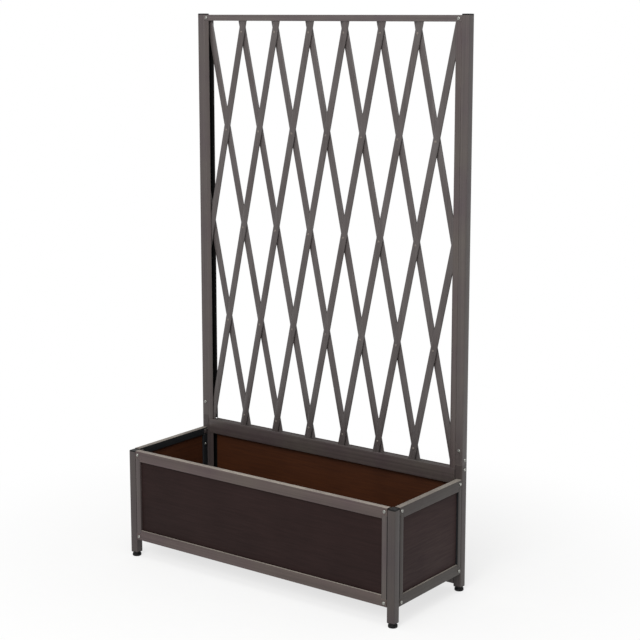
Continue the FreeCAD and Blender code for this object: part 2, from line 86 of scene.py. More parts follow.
# ---- Feet -------------------------------------------------------------------------------
# Four round screw-in feet, each a black polyamide pad moulded round a threaded steel stem.
# The stem screws up into the plug in the leg's end, so turning the pad levels the planter.
MM = 0.001
UP = Vector((0, 0, 1))
FOOT_BLACK = "#0e0e0e"
FOOT_SCUFF = "#272522"
STEM_ZINC = "#b9bab5"
PAD_SIDE = 1.9 * MM
PAD_TALL = 7 * MM
PAD_HOLLOW = 0.35 * MM
PAD_TREAD = 3.6 * MM
NECK_RADIUS = 8.8 * MM
NECK_TOP = 10.4 * MM
STEM_RADIUS = 4 * MM
STEM_LENGTH = 18.2 * MM
STEM_SUNK = 0.2 * MM
THREAD_PITCH = 1.25 * MM
THREAD_DEPTH = 0.45 * MM


def linear(code, alpha=1.0):
    """A written sRGB colour as the linear values that the shaders take."""
    out = []
    for start in (1, 3, 5):
        part = int(code[start:start + 2], 16) / 255
        out.append(part / 12.92 if part <= 0.04045 else ((part + 0.055) / 1.055) ** 2.4)
    return (*out, alpha)


def add(tree, kind, settings=None, links=None):
    """Adds one node. settings are its own properties or socket values, links its inputs."""
    made = tree.nodes.new(kind)
    for key, value in (settings or {}).items():
        if isinstance(key, str) and hasattr(made, key):
            setattr(made, key, value)
        else:
            made.inputs[key].default_value = value
    for key, source in (links or {}).items():
        tree.links.new(source, made.inputs[key])
    return made


def new_material(name):
    """An empty node material with its output, ready for a surface."""
    material = bpy.data.materials.new(name)
    material.use_nodes = True
    material.node_tree.nodes.clear()
    return material, material.node_tree


def rubbed_edge(tree, normal, radius, start, end, most):
    """Where a piece is handled: 0 on its flat faces, and up to most where an edge turns."""
    soft = add(tree, "ShaderNodeBevel", {"samples": 4, "Radius": radius})
    match = add(tree, "ShaderNodeVectorMath", {"operation": "DOT_PRODUCT"},
                {0: soft.outputs["Normal"], 1: normal})
    edge = add(tree, "ShaderNodeMapRange", {"From Min": start, "From Max": end,
                                            "To Min": 0.0, "To Max": most},
               {"Value": match.outputs["Value"]})
    return edge.outputs["Result"]


def moulded_nylon(name, base, scuff, grain_mm):
    """Moulded polyamide: near-black, half matt, with an even spark-eroded grain that breaks
    up the highlight, and greyer where rims rub on hands and floors."""
    material, tree = new_material(name)
    place = add(tree, "ShaderNodeTexCoord")
    grain = add(tree, "ShaderNodeTexNoise", {"Scale": 1000 / grain_mm, "Detail": 3.0,
                                             "Roughness": 0.6},
                {"Vector": place.outputs["Object"]})
    cloud = add(tree, "ShaderNodeTexNoise", {"Scale": 90.0, "Detail": 4.0},
                {"Vector": place.outputs["Object"]})
    flat = add(tree, "ShaderNodeNewGeometry")
    edge = rubbed_edge(tree, flat.outputs["Normal"], 0.9 * MM, 1.0, 0.86, 0.55)
    worn = add(tree, "ShaderNodeMath", {"operation": "MULTIPLY"},
               {0: edge, 1: cloud.outputs["Fac"]})
    tone = add(tree, "ShaderNodeMix", {"data_type": "RGBA", 6: linear(base),
                                       7: linear(scuff)}, {0: worn.outputs["Value"]})
    shine = add(tree, "ShaderNodeMapRange", {"From Min": 0.3, "From Max": 0.7,
                                             "To Min": 0.46, "To Max": 0.6},
                {"Value": cloud.outputs["Fac"]})
    bump = add(tree, "ShaderNodeBump", {"Strength": 0.25, "Distance": 0.08 * MM},
               {"Height": grain.outputs["Fac"]})
    surface = add(tree, "ShaderNodeBsdfPrincipled", {"IOR": 1.53, "Specular IOR Level": 0.14},
                  {"Base Color": tone.outputs[2], "Roughness": shine.outputs["Result"],
                   "Normal": bump.outputs["Normal"]})
    add(tree, "ShaderNodeOutputMaterial", links={"Surface": surface.outputs["BSDF"]})
    return material


def zinc_plate(name, base, shade, roughness):
    """Bright zinc plate on steel: clear silver with a faint cloudy passivation and fine
    drawn scratches that spread the highlight."""
    material, tree = new_material(name)
    place = add(tree, "ShaderNodeTexCoord")
    cloud = add(tree, "ShaderNodeTexNoise", {"Scale": 420.0, "Detail": 3.0},
                {"Vector": place.outputs["Object"]})
    scratch = add(tree, "ShaderNodeTexNoise", {"Scale": 2600.0, "Detail": 2.0,
                                               "Distortion": 1.2},
                  {"Vector": place.outputs["Object"]})
    tone = add(tree, "ShaderNodeMix", {"data_type": "RGBA", 6: linear(shade),
                                       7: linear(base)}, {0: cloud.outputs["Fac"]})
    shine = add(tree, "ShaderNodeMapRange", {"From Min": 0.25, "From Max": 0.75,
                                             "To Min": roughness - 0.06,
                                             "To Max": roughness + 0.10},
                {"Value": cloud.outputs["Fac"]})
    bump = add(tree, "ShaderNodeBump", {"Strength": 0.12, "Distance": 0.03 * MM},
               {"Height": scratch.outputs["Fac"]})
    surface = add(tree, "ShaderNodeBsdfPrincipled", {"Metallic": 1.0},
                  {"Base Color": tone.outputs[2], "Roughness": shine.outputs["Result"],
                   "Normal": bump.outputs["Normal"]})
    add(tree, "ShaderNodeOutputMaterial", links={"Surface": surface.outputs["BSDF"]})
    return material


def across(direction):
    """Two unit vectors at right angles to a direction and to each other."""
    direction = Vector(direction).normalized()
    first = direction.orthogonal().normalized()
    return first, direction.cross(first).normalized()


def turned(bm, profile, foot, direction, steps):
    """Turned form: a profile of (radius, height) pairs that starts and ends on its axis."""
    direction = Vector(direction).normalized()
    side, front = across(direction)
    rings = []
    for radius, height in profile:
        centre = Vector(foot) + direction * height
        if radius < 1e-7:
            rings.append([bm.verts.new(centre)])
            continue
        ring = []
        for step in range(steps):
            angle = 2 * math.pi * step / steps
            ring.append(bm.verts.new(centre + (side * math.cos(angle)
                                               + front * math.sin(angle)) * radius))
        rings.append(ring)
    for low, high in zip(rings, rings[1:]):
        for step in range(steps):
            after = (step + 1) % steps
            corners = [low[step % len(low)], low[after % len(low)],
                       high[after % len(high)], high[step % len(high)]]
            unique = []
            for vert in corners:
                if vert not in unique:
                    unique.append(vert)
            bm.faces.new(unique)


def piece(name, bm, material, body, nodes=(), sharp=32):
    """Makes a finished piece from a mesh and lets it ride on its body."""
    bmesh.ops.recalc_face_normals(bm, faces=bm.faces)
    mesh = bpy.data.meshes.new(name)
    bm.to_mesh(mesh)
    bm.free()
    mesh.polygons.foreach_set("use_smooth", [True] * len(mesh.polygons))
    mesh.set_sharp_from_angle(angle=math.radians(sharp))
    made = bpy.data.objects.new(name, mesh)
    bpy.context.scene.collection.objects.link(made)
    mesh.materials.append(material)
    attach(made, body)
    if nodes:
        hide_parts(*nodes)
    return made


def threaded(bm, foot, radius, length, steps=24):
    """Screw thread: one helical ridge that fades out at both ends."""
    rows = int(length / (THREAD_PITCH / 6))
    rings = []
    for row in range(rows + 1):
        height = length * row / rows
        fade = min(1.0, height / THREAD_PITCH, (length - height) / THREAD_PITCH)
        ring = []
        for step in range(steps):
            turn = step / steps
            phase = (height / THREAD_PITCH - turn) % 1.0
            ridge = abs(phase * 2 - 1)
            reach = radius - THREAD_DEPTH * (1 - ridge * fade)
            angle = 2 * math.pi * turn
            ring.append(bm.verts.new(Vector(foot) + Vector((
                reach * math.cos(angle), reach * math.sin(angle), height))))
        rings.append(ring)
    for low, high in zip(rings, rings[1:]):
        for step in range(steps):
            after = (step + 1) % steps
            bm.faces.new((low[step], low[after], high[after], high[step]))
    bm.faces.new(rings[0])
    bm.faces.new(rings[-1])


foot_nylon = moulded_nylon("moulded_polyamide_foot", FOOT_BLACK, FOOT_SCUFF, 0.6)
stem_zinc = zinc_plate("zinc_plated_stem", STEM_ZINC, "#9c9d98", 0.34)
for corner in ("front_left", "front_right", "back_left", "back_right"):
    low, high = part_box(corner + "_foot")
    centre = (low + high) / 2
    under = Vector((centre.x, centre.y, 0))
    rim = (high.x - low.x) / 2
    bm = bmesh.new()
    profile = [(0, PAD_HOLLOW), (rim - PAD_TREAD - 0.6 * MM, PAD_HOLLOW),
               (rim - PAD_TREAD, 0)]
    for middle, first in ((PAD_SIDE, 0), (PAD_TALL - PAD_SIDE, 6)):
        for step in range(first, first + 7):
            angle = math.pi / 2 * step / 6
            profile.append((rim - PAD_SIDE + PAD_SIDE * math.sin(angle),
                            middle - PAD_SIDE * math.cos(angle)))
    profile += [(NECK_RADIUS + 0.2 * MM, PAD_TALL + 0.25 * MM),
                (NECK_RADIUS, PAD_TALL + 0.8 * MM), (NECK_RADIUS, NECK_TOP - 0.4 * MM),
                (NECK_RADIUS - 0.4 * MM, NECK_TOP), (0, NECK_TOP)]
    turned(bm, profile, under, UP, 64)
    piece(corner + "_foot_pad", bm, foot_nylon, corner + "_foot_body",
          [corner + "_foot"])
    bm = bmesh.new()
    threaded(bm, under + UP * (NECK_TOP - STEM_SUNK), STEM_RADIUS, STEM_LENGTH)
    piece(corner + "_foot_stem", bm, stem_zinc, corner + "_foot_body",
          sharp=60)

# ---- Leg plugs ---------------------------------------------------------------------------
# Black moulded inserts pressed into the lower ends of the four legs. Only a thin square lip
# shows under each tube; the body inside carries the thread for the foot.
TUBE_HALF = 10 * MM
PLUG_BODY = 17.4 * MM
PLUG_BORE = 4.2 * MM
PLUG_SIDES = 28
PLUG_CORNER = 1.32
LIP_TALL = 1.5 * MM
LIP_CORNER = 1.6 * MM
FRAME_BODY = "planter_frame"


def outline(corners, inset=0.0):
    """Right-angled outline of (u, v, radius) corners with rounded corners, drawn inwards."""
    count = len(corners)
    area = 0.0
    for (u0, v0, _), (u1, v1, _) in zip(corners, corners[1:] + corners[:1]):
        area += u0 * v1 - u1 * v0
    points = []
    for index, (u, v, radius) in enumerate(corners):
        here = Vector((u, v))
        back = (Vector(corners[index - 1][:2]) - here).normalized()
        ahead = (Vector(corners[(index + 1) % count][:2]) - here).normalized()
        outer = (back.cross(ahead) < 0) == (area > 0)
        sign = 1 if outer else -1
        steps = 5 if radius > 0.6 * MM else 2
        here = here + (back + ahead) * inset * sign
        radius = max(radius - inset * sign, 0.02 * MM)
        middle = here + (back + ahead) * radius
        for step in range(steps + 1):
            angle = math.pi / 2 * step / steps
            points.append(middle - (ahead * math.cos(angle) + back * math.sin(angle)) * radius)
    return points


def lofted(bm, rings):
    """Skin through rings of equal length, closed at both ends."""
    made = []
    for ring in rings:
        made.append([bm.verts.new(point) for point in ring])
    count = len(made[0])
    for low, high in zip(made, made[1:]):
        for step in range(count):
            after = (step + 1) % count
            bm.faces.new((low[step], low[after], high[after], high[step]))
    bm.faces.new(made[0])
    bm.faces.new(made[-1])


def section_bar(bm, corners, axes, start, end, soften=0.3 * MM):
    """Straight bar with a rounded section. axes are the u, v and run directions."""
    u_axis, v_axis, run = (Vector(axis) for axis in axes)
    rings = []
    for place, inset in ((start, soften), (start + soften, 0.0), (end - soften, 0.0),
                         (end, soften)):
        rings.append([u_axis * p.x + v_axis * p.y + run * place
                      for p in outline(corners, inset)])
    lofted(bm, rings)


X_AXIS = Vector((1, 0, 0))
Y_AXIS = Vector((0, 1, 0))
ALONG_X = (Y_AXIS, UP, X_AXIS)
ALONG_Y = (X_AXIS, UP, Y_AXIS)
ALONG_Z = (X_AXIS, Y_AXIS, UP)


def square(u0, v0, u1, v1, radius):
    """Corners of a rectangular section."""
    return [(u0, v0, radius), (u1, v0, radius), (u1, v1, radius), (u0, v1, radius)]


plug_nylon = moulded_nylon("moulded_polyamide_plug", "#161615", "#33312e", 0.6)
plug_low, plug_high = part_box("leg_plugs")
bm = bmesh.new()
for side in (-1, 1):
    for back in (-1, 1):
        x = side * (plug_high.x - TUBE_HALF)
        y = back * (plug_high.y - TUBE_HALF)
        low = plug_low.z
        section_bar(bm, square(x - TUBE_HALF, y - TUBE_HALF, x + TUBE_HALF, y + TUBE_HALF,
                               LIP_CORNER), ALONG_Z, low, low + LIP_TALL, 0.35 * MM)
        half = PLUG_BODY / 2
        body_foot = low + LIP_TALL + 0.02 * MM
        ring = []
        for step in range(PLUG_SIDES):
            angle = 2 * math.pi * (step + 0.5) / PLUG_SIDES
            ring.append((math.cos(angle), math.sin(angle)))
        rings = []
        for height, scale in ((body_foot, 1.0), (plug_high.z - 1 * MM, 1.0),
                              (plug_high.z, 0.95)):
            loop = []
            for cos, sin in ring:
                reach = half * scale / max(abs(cos), abs(sin))
                reach = min(reach, half * scale * PLUG_CORNER)
                loop.append(Vector((x + reach * cos, y + reach * sin, height)))
            rings.append(loop)
        for height in (plug_high.z, body_foot):
            rings.append([Vector((x + PLUG_BORE * cos, y + PLUG_BORE * sin, height))
                          for cos, sin in ring])
        made = [[bm.verts.new(point) for point in loop] for loop in rings]
        made.append(made[0])
        for first, second in zip(made, made[1:]):
            for step in range(PLUG_SIDES):
                after = (step + 1) % PLUG_SIDES
                bm.faces.new((first[step], first[after], second[after], second[step]))
piece("leg_plug_inserts", bm, plug_nylon, FRAME_BODY, ["leg_plugs"])

# ---- Posts -------------------------------------------------------------------------------
# Six lengths of 20 mm square steel tube, powder coated a warm grey-brown. Short tabs are
# welded on behind each frame screw. Each back leg and its tall post meet over a sleeve.
POST_CORNER = 1.3 * MM
TAB_CORNER = 0.6 * MM
COAT = "#3c3436"
COAT_LIGHT = "#433d39"
COAT_RUBBED = "#625952"
# The colour of upward faces is a dusting made paler still, as a painted highlight on the lit
# tops.
COAT_DUST_AND_TOP_LIGHT = "#857e75"


def powder_coat(name, dark, light, edge_wear_and_shade, top_dust_and_light, run="z", gloss=0.42):
    """Polyester powder coat on steel: satin, clouded warm and cool where the film varies, with
    orange peel that ripples the highlight, paler worn edges (darker on the slats, as painted
    shade) and a dusting on upward faces, paler still as a painted highlight on lit tops and
    darker as painted shade on the back rails' tops.
    Real orange peel is about 1 mm across; it is drawn at 3 mm to show at this size. Drawing
    lines of the tube show through as faint streaks along run, 2 to 5 mm apart."""
    material, tree = new_material(name)
    place = add(tree, "ShaderNodeTexCoord")
    cloud = add(tree, "ShaderNodeTexNoise", {"Scale": 8.0, "Detail": 5.0, "Roughness": 0.6},
                {"Vector": place.outputs["Object"]})
    long_way = add(tree, "ShaderNodeMapping",
                   {"Scale": {"x": (2.0, 260.0, 260.0), "y": (260.0, 2.0, 260.0),
                              "z": (260.0, 260.0, 2.0)}[run]},
                   {"Vector": place.outputs["Object"]})
    drawn = add(tree, "ShaderNodeTexNoise", {"Scale": 1.0, "Detail": 2.0},
                {"Vector": long_way.outputs["Vector"]})
    streak = add(tree, "ShaderNodeMapRange", {"From Min": 0.32, "From Max": 0.68,
                                              "To Min": 0.86, "To Max": 1.14},
                 {"Value": drawn.outputs["Fac"]})
    fleck = add(tree, "ShaderNodeTexNoise", {"Scale": 900.0, "Detail": 2.0},
                {"Vector": place.outputs["Object"]})
    peel = add(tree, "ShaderNodeTexNoise", {"Scale": 330.0, "Detail": 2.0,
                                            "Roughness": 0.45},
               {"Vector": place.outputs["Object"]})
    spread = add(tree, "ShaderNodeMapRange", {"From Min": 0.3, "From Max": 0.7},
                 {"Value": cloud.outputs["Fac"]})
    coat = add(tree, "ShaderNodeMix", {"data_type": "RGBA", 6: linear(dark),
                                       7: linear(light)}, {0: spread.outputs["Result"]})
    speck = add(tree, "ShaderNodeMapRange", {"From Min": 0.35, "From Max": 0.65,
                                             "To Min": 0.93, "To Max": 1.07},
                {"Value": fleck.outputs["Fac"]})
    film = add(tree, "ShaderNodeMath", {"operation": "MULTIPLY"},
               {0: speck.outputs["Result"], 1: streak.outputs["Result"]})
    flecked = add(tree, "ShaderNodeVectorMath", {"operation": "SCALE"},
                  {0: coat.outputs[2], "Scale": film.outputs["Value"]})
    flat = add(tree, "ShaderNodeNewGeometry")
    edge = rubbed_edge(tree, flat.outputs["Normal"], 1.1 * MM, 0.995, 0.84, 0.9)
    patch = add(tree, "ShaderNodeTexNoise", {"Scale": 60.0, "Detail": 4.0},
                {"Vector": place.outputs["Object"]})
    patchy = add(tree, "ShaderNodeMapRange", {"From Min": 0.42, "From Max": 0.62},
                 {"Value": patch.outputs["Fac"]})
    worn = add(tree, "ShaderNodeMath", {"operation": "MULTIPLY"},
               {0: edge, 1: patchy.outputs["Result"]})
    # Edges take the edge colour: paler wear on most coats, and on the slats a darker painted
    # shade.
    rub = add(tree, "ShaderNodeMix", {"data_type": "RGBA", 7: linear(edge_wear_and_shade)},
              {0: worn.outputs["Value"], 6: flecked.outputs["Vector"]})
    split = add(tree, "ShaderNodeSeparateXYZ", links={"Vector": flat.outputs["Normal"]})
    upward = add(tree, "ShaderNodeMapRange", {"From Min": 0.6, "From Max": 1.0,
                                              "To Min": 0.0, "To Max": 1.2},
                 {"Value": split.outputs["Z"]})
    # Upward faces take the top colour: a dusting, and on the rails also a painted highlight
    # (painted shade on the back rails' tops).
    top_dust_and_light_mask = add(tree, "ShaderNodeMath", {"operation": "MULTIPLY"},
                  {0: upward.outputs["Result"], 1: cloud.outputs["Fac"]})
    tone = add(tree, "ShaderNodeMix", {"data_type": "RGBA", 7: linear(top_dust_and_light)},
               {0: top_dust_and_light_mask.outputs["Value"], 6: rub.outputs[2]})
    shine = add(tree, "ShaderNodeMapRange", {"From Min": 0.3, "From Max": 0.7,
                                             "To Min": 0.29, "To Max": 0.39},
                {"Value": patch.outputs["Fac"]})
    matt = add(tree, "ShaderNodeMapRange", {"From Min": 0.6, "From Max": 1.0,
                                            "To Min": 0.0, "To Max": 0.45},
               {"Value": split.outputs["Z"]})
    rough = add(tree, "ShaderNodeMath", {"operation": "ADD"},
                {0: shine.outputs["Result"], 1: matt.outputs["Result"]})
    bump = add(tree, "ShaderNodeBump", {"Strength": 0.22, "Distance": 0.06 * MM},
               {"Height": peel.outputs["Fac"]})
    surface = add(tree, "ShaderNodeBsdfPrincipled", {"IOR": 1.5, "Specular IOR Level": gloss},
                  {"Base Color": tone.outputs[2], "Roughness": rough.outputs["Value"],
                   "Normal": bump.outputs["Normal"]})
    add(tree, "ShaderNodeOutputMaterial", links={"Surface": surface.outputs["BSDF"]})
    return material


leg_coat = powder_coat("powder_coated_steel_leg", COAT, COAT_LIGHT, COAT_RUBBED, COAT_DUST_AND_TOP_LIGHT,
                       gloss=0.32)
post_coat = powder_coat("powder_coated_steel_tall_post", "#443b3d", "#4b4541", COAT_RUBBED,
                        COAT_DUST_AND_TOP_LIGHT)
POST_SIZE = 20 * MM
TAB_HEIGHT = 10 * MM
TAB_WALL = 2 * MM
TAB_REACH = 14 * MM
FRAME_DEPTH = 15 * MM
RAIL_MID = 9 * MM
BOX_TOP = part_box("front_top_rail")[1].z
BOX_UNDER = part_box("front_bottom_rail")[0].z
LEVEL_TOP = BOX_TOP - RAIL_MID
LEVEL_LOW = BOX_UNDER + RAIL_MID
BACK_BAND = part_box("back_top_rail")
LEVEL_BACK = (BACK_BAND[0].z + BACK_BAND[1].z) / 2
HEAD_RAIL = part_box("trellis_top_rail")
LEVEL_HEAD = (HEAD_RAIL[0].z + HEAD_RAIL[1].z) / 2
HALF_W = plug_high.x
HALF_D = plug_high.y


def tab(bm, x0, y0, x1, y1, level):
    """Welded plate, rounded at its corners and sunk a hair into the tube."""
    x0, x1 = sorted((x0, x1))
    y0, y1 = sorted((y0, y1))
    half = TAB_HEIGHT / 2
    section_bar(bm, square(x0, y0, x1, y1, TAB_CORNER), ALONG_Z, level - half, level + half,
                0.4 * MM)


for side, word in ((-1, "left"), (1, "right")):
    outer = side * HALF_W
    inner = side * (HALF_W - POST_SIZE)
    reach = side * (HALF_W - POST_SIZE - TAB_REACH)
    plate = side * (HALF_W - FRAME_DEPTH)
    plate_in = side * (HALF_W - FRAME_DEPTH - TAB_WALL)
    for row, back in (("front", -1), ("back", 1), ("trellis", 1)):
        node = "%s_%s_post" % (row, word)
        low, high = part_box(node)
        x0, x1 = sorted((inner, outer))
        y0, y1 = sorted((back * (HALF_D - POST_SIZE), back * HALF_D))
        bm = bmesh.new()
        section_bar(bm, square(x0, y0, x1, y1, POST_CORNER), ALONG_Z, low.z, high.z, 0.25 * MM)
        coat = post_coat if row == "trellis" else leg_coat
        piece(node + "_tube", bm, coat, FRAME_BODY, [node])
        bm = bmesh.new()
        inside = back * (HALF_D - POST_SIZE)
        if row == "front":
            y = -HALF_D + FRAME_DEPTH
            for level in (LEVEL_TOP, LEVEL_LOW):
                tab(bm, reach, y, inner, y + TAB_WALL, level)
        else:
            y = HALF_D - POST_SIZE + FRAME_DEPTH
            levels = (LEVEL_HEAD,) if row == "trellis" else (LEVEL_BACK, LEVEL_LOW)
            for level in levels:
                tab(bm, reach, y, inner, y + TAB_WALL, level)
        if row != "trellis":
            for level in (LEVEL_TOP, LEVEL_LOW):
                tab(bm, plate, inside, plate_in, inside - back * TAB_REACH, level)
        piece(node + "_tabs", bm, coat, FRAME_BODY)

# Sleeves: short zinc-plated square tubes inside the back posts, hidden by them.
frame["nodes"]["post_joint_sleeves"].data.materials.clear()
frame["nodes"]["post_joint_sleeves"].data.materials.append(
    zinc_plate("zinc_plated_sleeve", "#b3b4af", "#969792", 0.42))

# ---- Post caps ---------------------------------------------------------------------------
# Black polyamide caps pushed into the open ends of the four tubes. The lid is as wide as the
# tube, crowned a little, with soft top edges; LID_SHAPE is its drop and inset in mm.
LID_TALL = 3 * MM
LID_SHAPE = ((3.0, 0.15), (2.85, 0.0), (1.15, 0.0), (0.85, 0.05), (0.55, 0.2),
             (0.35, 0.45), (0.24, 0.8), (0.12, 2.4), (0.0, 5.5))
cap_nylon = moulded_nylon("moulded_polyamide_cap", "#0d0d0d", "#24221f", 0.6)
for row in ("front", "trellis"):
    for word in ("left", "right"):
        node = "%s_%s_post_cap" % (row, word)
        low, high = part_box(node)
        foot = high.z - LID_TALL
        bm = bmesh.new()
        rings = []
        for drop, inset in LID_SHAPE:
            corners = square(low.x, low.y, high.x, high.y, POST_CORNER + inset * 0.9 * MM)
            rings.append([Vector((p.x, p.y, high.z - drop * MM))
                          for p in outline(corners, inset * MM)])
        lofted(bm, rings)
        centre = (low + high) / 2
        half = PLUG_BODY / 2
        section_bar(bm, square(centre.x - half, centre.y - half, centre.x + half,
                               centre.y + half, 0.8 * MM),
                    ALONG_Z, low.z, foot - 0.02 * MM, 0.4 * MM)
        piece(node + "_lid", bm, cap_nylon, FRAME_BODY, [node], sharp=50)

# ---- Box rails ---------------------------------------------------------------------------
# Rectangular steel tubes with a rolled lip on the outer side that covers the board's edge,
# powder coated with the posts; the side rails' coat is drawn darker as painted shade, and
# their faces into the box take a near-black painted shade. Cut square, they stop a millimetre
# short of the posts. The two rails at the back are plain tubes.
RAIL_CORNER = 1.3 * MM
RAIL_BODY = 18 * MM
LIP_DEPTH = 5 * MM
HAIRLINE = 0.02 * MM
RAIL_TONES = ("#43383a", "#4a443f", "#6a6059")
# The front rails' top colour is paler still, a painted highlight along their lit tops.
long_coat = powder_coat("powder_coated_steel_long_rail", "#4b3e3f", "#514843", "#70655f",
                        "#a8a096", "x", 0.26)
# The side frames use the same paint drawn darker, as painted shade on the sides; their top
# colour is a painted highlight as on the front rails.
SIDE_SHADED_TONES = ("#362d2d", "#3d3833", "#5a514a")
side_shaded_coat = powder_coat("powder_coated_steel_side_rail", *SIDE_SHADED_TONES, "#9a938a", "y", 0.24)
# The back rails' top colour is dark: painted shade on their tops.
back_coat = powder_coat("powder_coated_steel_back_rail", *RAIL_TONES, "#2b2725", "x")
upright_coat = powder_coat("powder_coated_steel_upright", *RAIL_TONES, "#8a837a")
# The side stiles take the same darker tones, as painted shade.
side_shaded_upright_coat = powder_coat("powder_coated_steel_side_upright_painted_shade", *SIDE_SHADED_TONES, "#8a837a",
                                gloss=0.24)
head_coat = powder_coat("powder_coated_steel_head_rail", "#4b4244", "#534d49", "#6a6059",
                        "#4a4541", "x")


def lipped(outer, inner, low, high, upper):
    """Section of a rail: outer and inner are its faces across, upper if its lip hangs down."""
    step = LIP_DEPTH if inner > outer else -LIP_DEPTH
    body = high - RAIL_BODY if upper else low + RAIL_BODY
    if upper:
        return [(outer, high, RAIL_CORNER), (outer, low, 0.9 * MM),
                (outer + step, low, 0.9 * MM), (outer + step, body, 0.5 * MM),
                (inner, body, RAIL_CORNER), (inner, high, RAIL_CORNER)]
    return [(outer, low, RAIL_CORNER), (inner, low, RAIL_CORNER), (inner, body, RAIL_CORNER),
            (outer + step, body, 0.5 * MM), (outer + step, high, 0.9 * MM),
            (outer, high, 0.9 * MM)]


def painted_shade_finish(name, base, haze):
    """Near-black, dead matt painted shade for faces that lie in shadow; even, and a little
    grey in random patches.
    """
    material, tree = new_material(name)
    place = add(tree, "ShaderNodeTexCoord")
    drift = add(tree, "ShaderNodeTexNoise", {"Scale": 120.0, "Detail": 4.0},
                {"Vector": place.outputs["Object"]})
    thin = add(tree, "ShaderNodeMapRange", {"From Min": 0.5, "From Max": 0.75,
                                            "To Min": 0.0, "To Max": 0.6},
               {"Value": drift.outputs["Fac"]})
    tone = add(tree, "ShaderNodeMix", {"data_type": "RGBA", 6: linear(base),
                                       7: linear(haze)}, {0: thin.outputs["Result"]})
    grain = add(tree, "ShaderNodeTexNoise", {"Scale": 1400.0, "Detail": 2.0},
                {"Vector": place.outputs["Object"]})
    bump = add(tree, "ShaderNodeBump", {"Strength": 0.2, "Distance": 0.05 * MM},
               {"Height": grain.outputs["Fac"]})
    rough = add(tree, "ShaderNodeMapRange", {"From Min": 0.3, "From Max": 0.7,
                                             "To Min": 0.72, "To Max": 0.86},
                {"Value": drift.outputs["Fac"]})
    surface = add(tree, "ShaderNodeBsdfPrincipled", {"IOR": 1.5, "Specular IOR Level": 0.12},
                  {"Base Color": tone.outputs[2], "Roughness": rough.outputs["Result"],
                   "Normal": bump.outputs["Normal"]})
    add(tree, "ShaderNodeOutputMaterial", links={"Surface": surface.outputs["BSDF"]})
    return material


def paint_shade_on(made, shaded_ways):
    """Faces that look along one of the given directions take the near-black painted shade as a
    second material.
    """
    made.data.materials.append(inner_painted_shade)
    for face in made.data.polygons:
        if any(face.normal.dot(Vector(way)) > 0.7 for way in shaded_ways):
            face.material_index = 1


# Near-black painted shade for faces that look into the box and into the grooves beside the
# posts.
inner_painted_shade = painted_shade_finish("painted_shade_inner_face", "#1c1e20", "#282726")
OPEN_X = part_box("front_panel")[1].x
OPEN_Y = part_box("left_panel")[1].y
for word, axes, reach, coat in (("front", ALONG_X, OPEN_X, long_coat),
                                ("left", ALONG_Y, OPEN_Y, side_shaded_coat),
                                ("right", ALONG_Y, OPEN_Y, side_shaded_coat)):
    along, deep = (0, 1) if word == "front" else (1, 0)
    for upper, level in ((True, "top"), (False, "bottom")):
        node = "%s_%s_rail" % (word, level)
        low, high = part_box(node)
        outer, inner = low[deep], high[deep]
        if word == "right":
            outer, inner = inner, outer
        body_low = high.z - RAIL_BODY if upper else low.z
        body = square(low[deep], body_low, high[deep], body_low + RAIL_BODY, RAIL_CORNER)
        bm = bmesh.new()
        section_bar(bm, lipped(outer, inner, low.z, high.z, upper), axes, -reach, reach,
                    HAIRLINE)
        section_bar(bm, body, axes, low[along], -reach - HAIRLINE, HAIRLINE)
        section_bar(bm, body, axes, reach + HAIRLINE, high[along], HAIRLINE)
        made = piece(node + "_tube", bm, coat, FRAME_BODY, [node])
        # The side rails' faces towards the box's inside take the near-black painted shade.
        if word != "front":
            paint_shade_on(made, [X_AXIS if word == "left" else -X_AXIS])
for node in ("back_top_rail", "back_bottom_rail"):
    low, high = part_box(node)
    bm = bmesh.new()
    section_bar(bm, square(low.y, low.z, high.y, high.z, RAIL_CORNER), ALONG_X, low.x, high.x)
    piece(node + "_tube", bm, back_coat, FRAME_BODY, [node])

# ---- Box stiles --------------------------------------------------------------------------
# Upright steel tubes between the rails, 14 by 15 mm, butted and welded at both ends, so only
# a hairline shows at the joint. A millimetre's groove is left to the post beside them; deep
# in it a pressed bead nearly closes it, so that no daylight shows through.
BEAD = 0.85 * MM
BEAD_CORNER = 0.3 * MM
GROOVE = 6 * MM
WELD = 0.05 * MM


def beaded(post_face, open_face, outer, inner):
    """Section of a stile, as corners across it and into its depth, bead towards the post."""
    bead = post_face + math.copysign(BEAD, post_face - open_face)
    step = outer + math.copysign(GROOVE, inner - outer)
    return [(open_face, outer, RAIL_CORNER), (post_face, outer, RAIL_CORNER),
            (post_face, step, BEAD_CORNER), (bead, step, BEAD_CORNER),
            (bead, inner, RAIL_CORNER), (open_face, inner, RAIL_CORNER)]


for node in ("front_left_stile", "front_right_stile", "left_front_stile", "left_back_stile",
             "right_front_stile", "right_back_stile"):
    low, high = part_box(node)
    left = node.startswith("left") or node.endswith("left_stile")
    inward = X_AXIS if left else -X_AXIS
    if node.startswith("front"):
        post_face, open_face = (low.x, high.x) if left else (high.x, low.x)
        corners = beaded(post_face, open_face, low.y, high.y)
        coat = upright_coat
        shaded_ways = [-inward]
    else:
        post_face, open_face = (low.y, high.y) if "front" in node else (high.y, low.y)
        outer, inner = (low.x, high.x) if left else (high.x, low.x)
        corners = [(x, y, radius) for y, x, radius in beaded(post_face, open_face,
                                                             outer, inner)]
        coat = side_shaded_upright_coat
        shaded_ways = [Y_AXIS, -Y_AXIS, inward]
    bm = bmesh.new()
    section_bar(bm, corners, ALONG_Z, low.z, high.z, WELD)
    # Some faces take the near-black painted shade: on the front stiles the face in the groove
    # towards the post, on the side stiles their faces towards the post and the opening, and
    # the face into the box.
    paint_shade_on(piece(node + "_tube", bm, coat, FRAME_BODY, [node]), shaded_ways)

